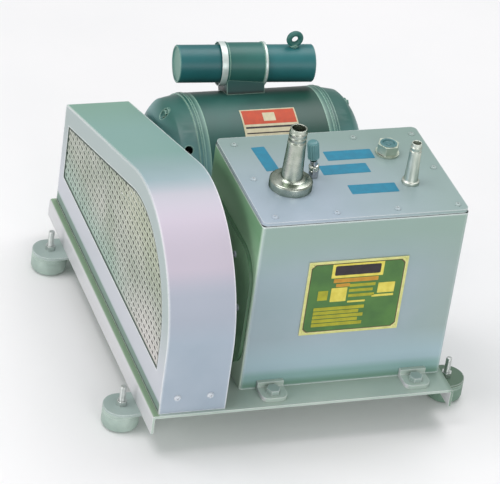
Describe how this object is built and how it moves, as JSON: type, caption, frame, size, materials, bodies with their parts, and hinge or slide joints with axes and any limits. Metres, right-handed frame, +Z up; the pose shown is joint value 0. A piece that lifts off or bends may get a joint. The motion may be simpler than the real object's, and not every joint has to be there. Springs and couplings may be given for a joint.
{
  "type": "vacuum pump",
  "caption": "Belt-driven oil-sealed rotary vane vacuum pump: square oil tank, electric motor with canister, mesh-sided belt guard, folded tray on rubber feet.",
  "frame": {"origin": "on the floor, under the middle of the tray", "axes": "+X along both shafts from the belt guard towards the tank's far side, +Y from the tank to the motor, +Z up"},
  "size_m": [0.521, 0.535, 0.418],
  "materials": {
    "grey_enamel": "semi-gloss hammered enamel",
    "green_enamel": "gloss enamel",
    "bright_steel": "turned, lightly oiled",
    "zinc_steel": "zinc plated",
    "grey_iron": "machined",
    "core_iron": "stacked laminations",
    "nozzle_metal": "turned",
    "fan_metal": "cast",
    "copper_wire": "varnished winding",
    "bronze": "machined",
    "gold_plate": "printed plate",
    "black_rubber": "moulded",
    "foot_rubber": "moulded",
    "gasket_sheet": "cut sheet",
    "dark_plastic": "moulded",
    "vane_plastic": "pressed laminate",
    "clear_glass": "clear, polished"
  },
  "bodies": {
    "base": {"base_tray": "grey_enamel", "foot_brackets": "grey_enamel", "foot_fasteners": "zinc_steel", "rubber_foot_front_left": "foot_rubber", "rubber_foot_front_right": "foot_rubber", "rubber_foot_rear_left": "foot_rubber", "rubber_foot_rear_right": "foot_rubber", "guard_shell": "grey_enamel", "guard_mesh": "grey_enamel", "guard_brackets": "grey_enamel", "guard_screws": "zinc_steel", "v_belts": "black_rubber", "oil_tank": "grey_enamel", "cover_gasket": "gasket_sheet", "tank_cover": "grey_enamel", "tank_screws": "zinc_steel", "tank_lugs": "grey_enamel", "lug_bolts": "zinc_steel", "tank_nameplate": "gold_plate", "inlet_port": "nozzle_metal", "ballast_body": "bright_steel", "exhaust_tube": "nozzle_metal", "sight_glass": "clear_glass", "drain_plug": "zinc_steel", "seal_housing": "grey_iron", "shaft_seal": "black_rubber", "drive_end_plate": "grey_iron", "low_stage_stator": "grey_iron", "middle_plate": "grey_iron", "high_stage_stator": "grey_iron", "rear_end_plate": "grey_iron", "shaft_bushes": "bronze", "module_bolts": "zinc_steel", "discharge_valves": "bright_steel", "inlet_duct": "bright_steel", "motor_frame": "green_enamel", "slide_rails": "grey_enamel", "motor_foot_bolts": "zinc_steel", "stator_core": "core_iron", "stator_windings": "copper_wire", "drive_end_shield": "green_enamel", "rear_end_shield": "green_enamel", "motor_bearings": "bright_steel", "through_bolts": "zinc_steel", "capacitor_canister": "green_enamel", "capacitor_bracket": "green_enamel", "canister_eye": "green_enamel", "cable_gland": "dark_plastic"},
    "pump_rotor": {"pump_shaft": "bright_steel", "pump_rotors": "grey_iron", "rotor_vanes": "vane_plastic", "pump_pulley": "grey_iron", "pump_pulley_key": "bright_steel"},
    "motor_rotor": {"motor_shaft": "bright_steel", "rotor_core": "core_iron", "motor_fan": "fan_metal", "motor_pulley": "grey_iron", "motor_pulley_key": "bright_steel"},
    "gas_ballast_knob": {"ballast_knob": "dark_plastic"},
    "oil_filler_plug": {"filler_plug": "nozzle_metal"}
  },
  "joints": [
    {"name": "pump_spin", "type": "hinge", "parent": "base", "child": "pump_rotor", "pos_m": [-0.1, -0.12, 0.172], "axis": [1, 0, 0], "continuous": true},
    {"name": "motor_spin", "type": "hinge", "parent": "base", "child": "motor_rotor", "pos_m": [0.0435, 0.1625, 0.172], "axis": [1, 0, 0], "continuous": true},
    {"name": "ballast_turn", "type": "hinge", "parent": "base", "child": "gas_ballast_knob", "pos_m": [0.022, -0.1215, 0.337], "axis": [-0.1736, 0, 0.9848], "range_deg": [0, 270]},
    {"name": "filler_lift", "type": "slide", "parent": "base", "child": "oil_filler_plug", "axis": [0, 0, 1], "range_m": [0, 0.02]}
  ],
  "couplings": [
    {"joint": "motor_spin", "follows": "pump_spin", "ratio": 3}
  ]
}
